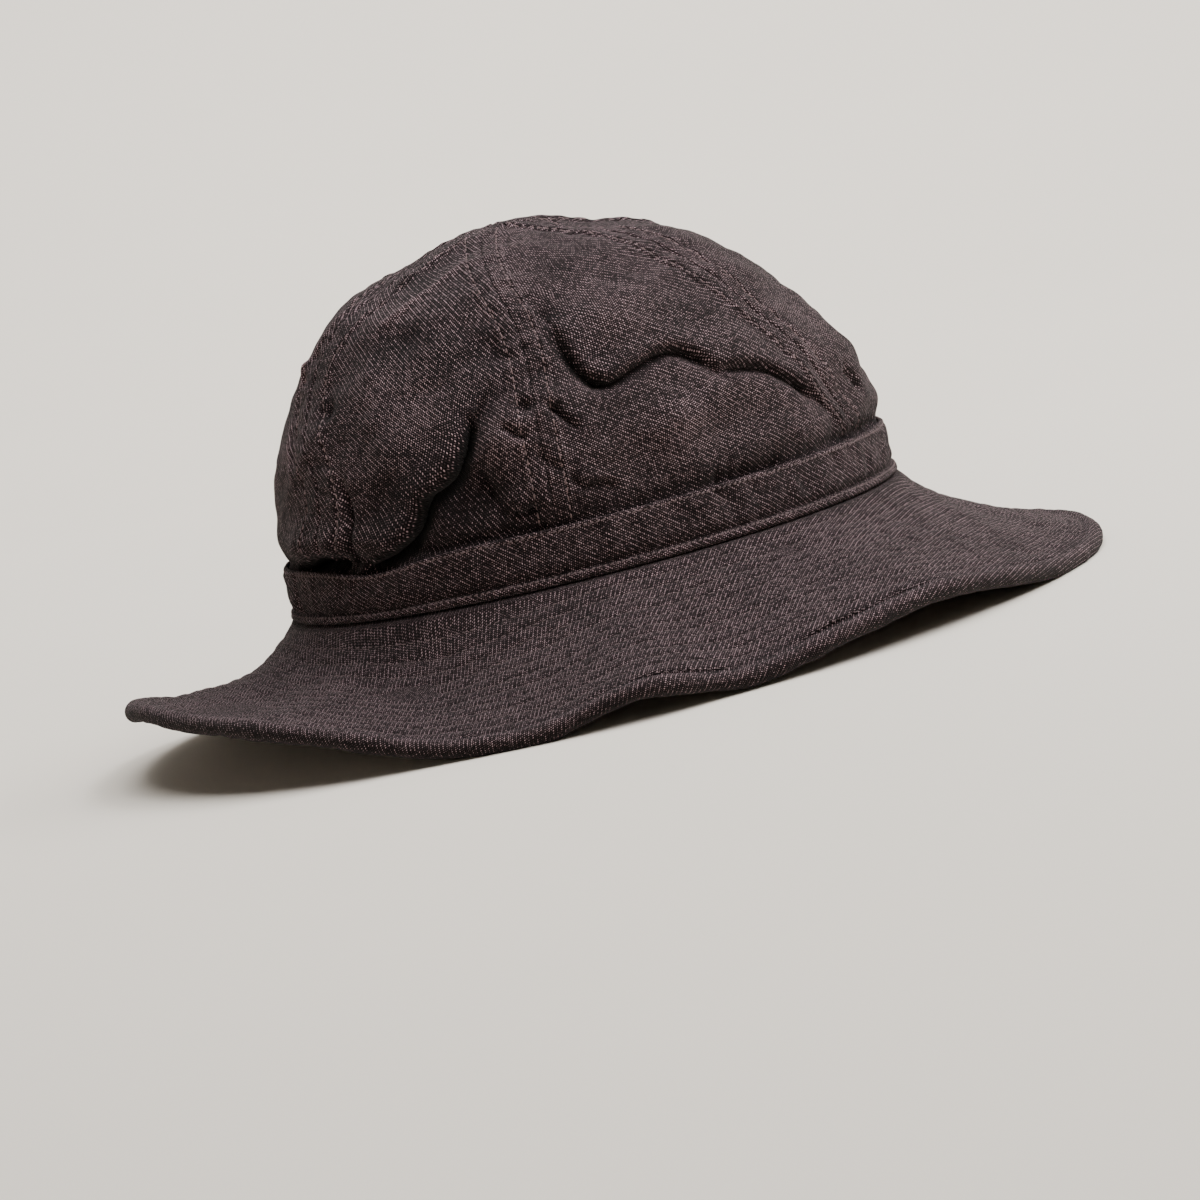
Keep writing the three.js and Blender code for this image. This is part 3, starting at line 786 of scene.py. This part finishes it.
def crownPanel(index):
    heights, climbs = panelRows(index)
    columns = crown["columns"][index] + 1
    shape = (len(climbs), columns)
    angle, offset, aside = np.zeros(shape), np.zeros(shape), np.zeros(shape)
    across = np.zeros((*shape, 2))
    firstAside, lastAside = crown["stitchAside"][index], crown["stitchAside"][(index + 1) % panelCount]
    for row, climb in enumerate(climbs):
        run, angles = panelLine(index, climb)
        places = panelColumns(run[-1], columns - 1)
        angle[row] = np.interp(places, run, angles)
        offset[row] = np.minimum(places, run[-1] - places)
        aside[row] = np.where(places / run[-1] < 0.5, firstAside, lastAside)
        across[row, :, 0] = places - run[-1] / 2 + crown["weaveShift"] * index
        across[row, :, 1] = heights[row]
    climb = np.repeat(climbs, columns)
    up = np.repeat(heights, columns)
    face = crownCloth(angle.ravel(), climb, offset.ravel(), up, aside.ravel())
    # where a level fold takes up more cloth, the weave is let out and not stretched
    extra = rowSteps(face["level"].reshape(*shape, 3)) - rowSteps(face["base"].reshape(*shape, 3))
    across[1:, :, 1] += crown["letOut"] * np.cumsum(softened(extra, crown["letOutColumns"]), axis=0)
    name = "crown_panel_%d" % (index + 1)
    piece = clothGrid(name + "_cloth", face["points"].reshape(*shape, 3), across, face["wearAndPaintedShading"])
    bpy.ops.object.mode_set(mode="EDIT")
    joinMeetingCorners()
    bpy.ops.object.mode_set(mode="OBJECT")
    wall = piece.modifiers.new("wall", "SOLIDIFY")
    wall.thickness = crown["wall"] * mm
    wall.offset = -1
    wall.use_rim = True
    bpy.ops.object.modifier_apply(modifier="wall")
    material = denim("crown_denim_%d" % (index + 1), crown["weaveTurn"][index], twill["spacing"])
    finishCloth(piece, name, material)


def seamStitches(index):  # two rows of thread, one on each side of a seam
    rows = []
    stitchAside = crown["stitchAside"][index]
    fromBand, fromTop = crown["stitchEnds"]
    for side in (1, -1):
        panel = (index if side > 0 else index - 1) % panelCount
        heights, climbs = panelRows(panel)
        rises = np.interp(climbs, climbSteps, riseSteps)
        keep = (rises > band["top"] + fromBand) & (heights < heights[-1] - fromTop)
        angles = []
        for climb in climbs[keep]:
            run, across = panelLine(panel, climb)
            place = stitchAside if side > 0 else run[-1] - stitchAside
            angles.append(np.interp(place, run, across))
        aside = np.full(len(angles), stitchAside)
        face = crownCloth(np.array(angles), climbs[keep], aside, heights[keep], aside)
        path = face["points"] + face["normals"] * sewing["crown"]["proud"]
        rows.append(stitchRow(path, face["normals"], "crown", crown["stitchSeed"] + 2 * index + side))
    return rows


for index in range(panelCount):
    crownPanel(index)
print("crown panels laid")
stitchMesh("crown_stitches", [row for index in range(panelCount) for row in seamStitches(index)], crownThread)
print("crown seams stitched")


def ovalPoint(angle, outside, rise):
    turn = np.radians(angle)
    x = (head["halfLength"] + outside) * np.cos(turn)
    y = (head["halfWidth"] + outside) * np.sin(turn)
    return np.stack([x, y, np.broadcast_to(rise, turn.shape)], 1)


def ovalNormal(angle):
    turn = np.radians(angle)
    return unit(np.stack([head["halfWidth"] * np.cos(turn), head["halfLength"] * np.sin(turn), 0 * turn], 1))


def bandPoint(angle, outside, rise):
    sag = band["sagDepth"] * hump(angle, band["sagAngle"], band["sagWidth"])
    return ovalPoint(angle, outside, rise - sag * rise / band["top"])


def bandFace(angle, run, rise, proud):  # one row of the outer face
    spots = bandPoint(angle, bandOutside + proud, rise)
    foot, top = band["face"]
    face = smoothStep(rise, *foot) * (1 - smoothStep(rise, *top))
    relief = face * swellSets(spots, band["faceSwells"])
    for dentAngle, dentRise, lean, depth in band["dents"]:
        above = rise - dentRise
        beside = (angle - dentAngle) * band["degree"] + above * lean
        relief = relief - depth * hump(beside, 0, band["dentWidth"]) * hump(above, 0, band["dentHeight"])
    relief = relief + (1 - face) * swellSets(spots, band["edgeSwells"])
    overlap = band["overlap"]
    if rise > overlap["from"]:
        away = smoothStep(np.abs(run - overlap["middle"]), *overlap["reach"])
        relief = relief + overlap["lift"] * (1 - away)
    return spots + ovalNormal(angle) * relief[:, None]


def bandLoops(angle):  # rows down the outer face, up the inner one and back to the first
    run = runningLength(ovalPoint(angle, bandOutside, 0))
    points = [bandFace(angle, run, rise, proud) for rise, proud in band["profile"]]
    points += [bandPoint(angle, crown["space"] + head["seamGap"], rise) for rise in band["insideRises"]]
    down = runningLength(np.array(band["profile"]))
    hidden = band["insideStep"] * np.arange(1, len(band["insideRises"]) + 1)
    down = np.concatenate([down, down[-1] + hidden])
    # wear and painted shade down the face
    wornAndPaintedShade = [humps(rise, band["wearAndPaintedShading"]) for rise, proud in band["profile"]] + [0] * len(band["insideRises"])
    points.append(points[0])
    down = np.append(down, down[-1])
    wornAndPaintedShade.append(wornAndPaintedShade[0])
    across = np.array([np.stack([run, np.full(len(run), -far)], 1) for far in down])
    return np.array(points), across, np.repeat(np.array(wornAndPaintedShade, float), len(angle))


joinGap = math.degrees(head["seamGap"] / head["halfLength"])
bandAngle = np.linspace(band["join"] + joinGap / 2, band["join"] + 360 - joinGap / 2, band["sides"] + 1)
bandPiece = clothGrid("band_cloth", *bandLoops(bandAngle))
closeEdges()
finishCloth(bandPiece, "band", denim("band_denim", band["weaveTurn"], twill["spacing"]))
rows = []
for rise, proud, seed in band["stitchRows"]:
    path = bandPoint(bandAngle, bandOutside + proud + sewing["band"]["proud"], rise)
    rows.append(stitchRow(path, ovalNormal(bandAngle), "band", seed))
stitchMesh("band_stitches", rows, thread)
print("band sewn on")


brim = {
    "layer": 1.2,
    "edgeRadius": 3.0,
    "twist": -6,
    "sharpness": 5,
    # sixteen columns each, from the front round to the back
    "width": [68, 68, 68, 68, 66.5, 65, 64, 64, 64, 64, 65, 64, 63, 61, 60, 60],
    "drop": [31.5, 31.5, 31.8, 32.6, 31.8, 27.4, 23.5, 26.7, 31.4, 26.5, 32.8, 30.8, 22.2, 16.5, 13.6, 11.2],
    "flare": [0.3, 0.3, 0.3, 0.2, 0.15, 0.1, 0.1, 0.1, 0.1, 0.15, 0.3, 0.55, 0.9, 1.1, 1.2, 1.2],
    "topSides": 720,
    "underSides": 540,
    "weaveTurn": 90,
    "weaveRadius": 91,  # of the brim seam, where the weave is laid out flat
    "stitchRows": 12,
    "stitchSeed": 80,
    "firstRow": 4.4,  # from the band to the first row of stitches
    "edgeRow": 4.5,  # from the last row to the middle of the rolled edge
    "puff": 0.10,
    "groove": (0.27, 0.13),  # depth, and width as a share of the way to the next row
    "swells": [(0.45, 42, 61), (0.16, 14, 62), (0.10, 5, 63)],
    "puffWear": 0.12,
    "tuck": 0.15,  # how far the cloth dips under the rolled edge
    # rows of the grid from one row of stitches to the next, and on the hidden faces
    "topSteps": [0, 0.13, 0.3, 0.5, 0.7, 0.87],
    "underSteps": [0, 0.16, 0.5, 0.84],
    "underCrown": [-1, -0.5, 0],
    "hidden": [0.75, 0.5, 0.25, 0.12, 0, -0.5, -1],
    # how far the weave runs on: at the crown's foot and inwards from it, from the last row to the roll, and
    # over the hidden face of the upper layer and of the lower one, which goes in steps
    "weaveFoot": (7, 10),
    "weaveToRoll": 1.2,
    "weaveHidden": 60,
    "weaveSteps": (10, 8),
    # the rolled edge: its turns from the upper face to the tucked end, its unevenness, and its wear on top
    # and the painted shade under it by their turns in radians
    "edgeTurns": np.radians(np.linspace(150, -165, 19)),
    "edgeSwells": [(0.05, 22, 71), (0.03, 7, 72)],
    "edgeWear": [(0.35, math.radians(80), 0.6)],
    "edgeShade": 1.2,
    "edgeShadeTurns": (0.9, -0.1),
}
brimThickness = 2 * brim["layer"] + head["seamGap"]
layerEnd = brim["edgeRadius"] + head["seamGap"]
brimCloth = denim("brim_denim", brim["weaveTurn"], twill["brimSpacing"])


def brimValue(column, angle):
    turned = (angle - brim["twist"]) % 360
    fromFront = np.minimum(turned, 360 - turned)
    return columnAt(brim[column], fromFront / (180 / (len(brim[column]) - 1)), True)


def brimMiddle(angle, share):  # the brim's middle face, from the seam at share 0 to the rolled edge at 1
    drop = brimValue("drop", angle)
    width = brimValue("width", angle)
    reach = np.sqrt(width ** 2 - drop ** 2) - brim["edgeRadius"]
    outward = np.maximum(share, 0)
    early = 1 - (1 - np.minimum(outward, 1)) ** brim["sharpness"]
    outside = bandOutside + np.where(share < 0, share * bandOutside, share * reach)
    fall = drop * (outward + brimValue("flare", angle) * (early - outward))
    return ovalPoint(angle, outside, -brimThickness / 2 - fall)


def brimFrame(angle, share):  # outward and upward directions on the brim
    nudge = 0.01
    outward = unit(brimMiddle(angle, share + nudge) - brimMiddle(angle, share - nudge))
    turn = np.radians(angle)
    around = np.stack([-np.sin(turn), np.cos(turn), 0 * turn], 1)
    return outward, unit(np.cross(outward, around))


def brimPoint(angle, share, along, lift):
    share, along, lift = (np.broadcast_to(value, angle.shape) for value in (share, along, lift))
    outward, up = brimFrame(angle, share)
    return brimMiddle(angle, share) + outward * along[:, None] + up * lift[:, None]


def brimReach(angle):  # length of the cloth from the band to the middle of the rolled edge
    return brimValue("width", angle) - brim["edgeRadius"]


def rowDistance(row, angle):  # from the band to a row of stitches, or to a place between two rows
    last = brimReach(angle) - brim["edgeRow"]
    between = brim["firstRow"] + (last - brim["firstRow"]) * row / (brim["stitchRows"] - 1)
    return between if row >= 0 else 0 * angle + brim["firstRow"] * (1 + row)


def brimRelief(row, spots, side):  # row counts the stitch rows, whole on a row itself
    depth, width = brim["groove"]
    fromRow = abs(row - round(row))
    quilting = brim["puff"] * math.sin(fromRow * math.pi) - depth * hump(fromRow, 0, width)
    return quilting + side * swellSets(spots, brim["swells"]) * smoothStep(row, -1, 1)


def clothRow(points, distance, wearAndPaintedShading=0):  # a row of corners, its distance from the band, and its wear and painted shade
    return {"points": points, "distance": distance, "wearAndPaintedShading": np.full(len(points), float(wearAndPaintedShading))}


def layerRows(angle, side, steps):  # rows across the seen face of a layer, from inside the crown outwards
    lift = side * brimThickness / 2
    foot, inwards = brim["weaveFoot"]
    rows = []
    for share in brim["underCrown"]:
        rows.append(clothRow(brimPoint(angle, share, 0, lift), foot + inwards * share))
    places = [(row, step) for row in range(-1, brim["stitchRows"] - 1) for step in steps]
    for row, step in places[1:]:  # the first one would lie on the seam again
        distance = rowDistance(row + step, angle)
        share = distance / brimReach(angle)
        relief = side * brimRelief(row + step, brimPoint(angle, share, 0, lift), side)
        wearAndPaintedShading = brim["puffWear"] * (1 - abs(step - 0.5) * 2)
        rows.append(clothRow(brimPoint(angle, share, 0, lift + relief), np.mean(distance), wearAndPaintedShading))
    distance = rowDistance(brim["stitchRows"] - 1, angle)
    last = brimPoint(angle, distance / brimReach(angle), 0, lift - side * brim["tuck"])
    return rows + [clothRow(last, np.mean(distance))]


def brimTopLoops(angle):  # the upper layer, which rolls over the edge and ends under itself
    rows = layerRows(angle, 1, brim["topSteps"])
    turns, radius = brim["edgeTurns"], brim["edgeRadius"]
    plump = radius * (1 + swellSets(brimPoint(angle, 1.0, 0, 0), brim["edgeSwells"]))
    rolledFrom = rows[-1]["distance"] + brim["weaveToRoll"]
    for turn in turns:
        spots = brimPoint(angle, 1.0, plump * np.cos(turn), plump * np.sin(turn))
        # worn on top of the roll, and painted shade under it
        wearAndPaintedShading = humps(turn, brim["edgeWear"]) - brim["edgeShade"] * smoothStep(turn, *brim["edgeShadeTurns"])
        rows.append(clothRow(spots, rolledFrom + (turns[0] - turn) * radius, wearAndPaintedShading))
    end = rows[-1]["distance"]
    lift = head["seamGap"] / 2
    rows.append(clothRow(brimPoint(angle, 1.0, radius * math.cos(turns[-1]), lift), end + 1))
    rows.append(clothRow(brimPoint(angle, 1.0, -layerEnd, lift), end + 2))
    for share in brim["hidden"]:
        onwards = brim["weaveHidden"] * (1 - share)
        rows.append(clothRow(brimPoint(angle, share, 0, lift), end + 2 + onwards))
    return rows


def brimUnderLoops(angle):  # the lower layer, which ends inside the rolled edge
    rows = layerRows(angle, -1, brim["underSteps"])
    end = rows[-1]["distance"]
    lift = -head["seamGap"] / 2
    rows.append(clothRow(brimPoint(angle, 1.0, -layerEnd, -brimThickness / 2), end + 1))
    rows.append(clothRow(brimPoint(angle, 1.0, -layerEnd, lift), end + 2))
    start, step = brim["weaveSteps"]
    for number, share in enumerate(brim["hidden"]):
        rows.append(clothRow(brimPoint(angle, share, 0, lift), end + start + step * number))
    return rows


def brimPiece(name, node, makeLoops, sides):
    angle = np.linspace(0, 360, sides + 1)
    turn = np.radians(angle)
    rows = makeLoops(angle)
    rows.append({**rows[0], "distance": rows[-1]["distance"] + 1})
    radii = [brim["weaveRadius"] + row["distance"] for row in rows]
    across = np.array([np.stack([radius * np.cos(turn), radius * np.sin(turn)], 1) for radius in radii])
    points, wearAndPaintedShading = (np.array([row[part] for row in rows]) for part in ("points", "wearAndPaintedShading"))
    piece = clothGrid(name, points, across, wearAndPaintedShading)
    closeEdges()
    finishCloth(piece, node, brimCloth)


brimPiece("brim_top_cloth", "brim_top", brimTopLoops, brim["topSides"])
brimPiece("brim_under_cloth", "brim_under", brimUnderLoops, brim["underSides"])
print("brim laid")

angle = np.linspace(0, 360, brim["topSides"] + 1)
for name, side in (("brim_stitches_top", 1), ("brim_stitches_under", -1)):
    rows = []
    for row in range(brim["stitchRows"]):
        share = rowDistance(row, angle) / brimReach(angle)
        spots = brimPoint(angle, share, 0, side * brimThickness / 2)
        lift = brimThickness / 2 + brimRelief(row, spots, side) + sewing["brim"]["proud"]
        up = brimFrame(angle, share)[1]
        path = brimPoint(angle, share, 0, side * lift)
        rows.append(stitchRow(path, up * side, "brim", brim["stitchSeed"] + row))
    stitchMesh(name, rows, thread)
print("brim quilted and stitched")


studio = {
    "floor": (0.90, 0.835, 0.74, 1),
    "blotches": 0.96,  # how dark the paper's soft blotches are against the rest
    "blotchScale": 3.0,
    "flat": 1.2,  # metres from the middle to where the paper starts to rise
    "bend": 2.4,
    "sweep": 80,  # degrees that the paper turns up
    "rings": 40,
    "sides": 96,
    "roughness": 0.9,
    "sharpFrom": 40,  # degrees between two faces
}


def paperMaterial():
    make = Recipe("floor_paper")
    blotch = tuple(part * studio["blotches"] for part in studio["floor"][:3]) + (1,)
    blotches = make.noise(make.objectPlace(), studio["blotchScale"], 2.0)
    make.surface({
        "Base Color": make.blend(blotches, blotch, studio["floor"]),
        "Roughness": studio["roughness"],
    })
    return make.material


bpy.ops.object.select_all(action="DESELECT")
bpy.ops.mesh.primitive_circle_add(vertices=studio["sides"], radius=studio["flat"], fill_type="NGON")
floor = bpy.context.object
floor.name = "studio_floor"
bpy.ops.object.mode_set(mode="EDIT")
bpy.ops.mesh.select_mode(type="EDGE")
bpy.ops.mesh.select_all(action="DESELECT")
bpy.ops.mesh.select_non_manifold()
reach = studio["flat"]
climbs = np.radians(np.linspace(0, studio["sweep"], studio["rings"] + 1))
for before, climb in zip(climbs, climbs[1:]):  # the paper sweeps up on every side
    wider = (studio["flat"] + studio["bend"] * math.sin(climb)) / reach
    reach *= wider
    rise = studio["bend"] * (math.cos(before) - math.cos(climb))
    bpy.ops.mesh.extrude_edges_move(TRANSFORM_OT_translate={"value": (0, 0, rise)})
    bpy.ops.transform.resize(value=(wider, wider, 1), center_override=(0, 0, 0))
bpy.ops.object.mode_set(mode="OBJECT")
bpy.ops.object.shade_smooth_by_angle(angle=math.radians(studio["sharpFrom"]))
floor.data.materials.append(paperMaterial())
print("paper hung")

view = {
    "turn": 27,  # degrees the camera stands off the hat's side, towards its back
    "height": 7.2,  # degrees above the brim seam
    "roll": 13.5,
    "distance": 1330,
    "aim": 8.6,  # height of the aimed point over the brim seam
    "aside": -0.00216,  # how far that point lies beside and above the middle, as shares of its distance
    "above": 0.0199,
    "lens": 125.1,
    "sensor": 36,
}
turn, height, roll = (math.radians(view[key]) for key in ("turn", "height", "roll"))
forward = Vector((math.sin(turn) * math.cos(height), math.cos(turn) * math.cos(height), -math.sin(height)))
level = Vector((math.cos(turn), -math.sin(turn), 0))
upright = level.cross(forward)
right = math.cos(roll) * level - math.sin(roll) * upright
up = math.cos(roll) * upright + math.sin(roll) * level
ray = (right * view["aside"] + up * view["above"] + forward).normalized()
aimed = Vector((rest["x"], rest["y"], rest["seamHeight"] + view["aim"]))
bpy.ops.object.camera_add(location=(aimed - ray * view["distance"]) * mm)
camera = bpy.context.object
camera.name = "camera"
camera.data.lens = view["lens"]
camera.data.sensor_width = view["sensor"]
camera.rotation_mode = "QUATERNION"
camera.rotation_quaternion = Matrix((right, up, -forward)).transposed().to_quaternion()
bpy.context.scene.camera = camera

hatMiddle = (0, 0, 0.06)
lamps = {  # places and sizes in metres
    "right": {"at": (0.97, -0.39, 1.27), "size": 0.9, "power": 21, "to": hatMiddle},
    "front": {"at": (0.35, -0.97, 1.29), "size": 0.9, "power": 16, "to": hatMiddle},
    "top": {"at": (0, -0.05, 1.66), "size": 0.9, "power": 15, "to": hatMiddle},
    "back": {"at": (0, 0.8, 1.45), "size": 0.9, "power": 3, "to": hatMiddle},
    "paper": {"at": (0.9, 1.1, 2.1), "size": 1.6, "power": 80, "to": (1.2, 3.4, 0.3)},
}
for name, lamp in lamps.items():
    bpy.ops.object.light_add(type="AREA", location=lamp["at"])
    light = bpy.context.object
    light.name = name + "_light"
    light.data.shape = "SQUARE"
    light.data.size = lamp["size"]
    light.data.energy = lamp["power"]
    light.rotation_mode = "QUATERNION"
    light.rotation_quaternion = (Vector(lamp["to"]) - light.location).to_track_quat("-Z", "Y")

air = {"colour": (0.95, 0.96, 1.0, 1), "strength": 0.03}
world = bpy.data.worlds.new("studio_air")
world.use_nodes = True
background = world.node_tree.nodes["Background"]
background.inputs["Color"].default_value = air["colour"]
background.inputs["Strength"].default_value = air["strength"]
bpy.context.scene.world = world
print("camera and lamps set")
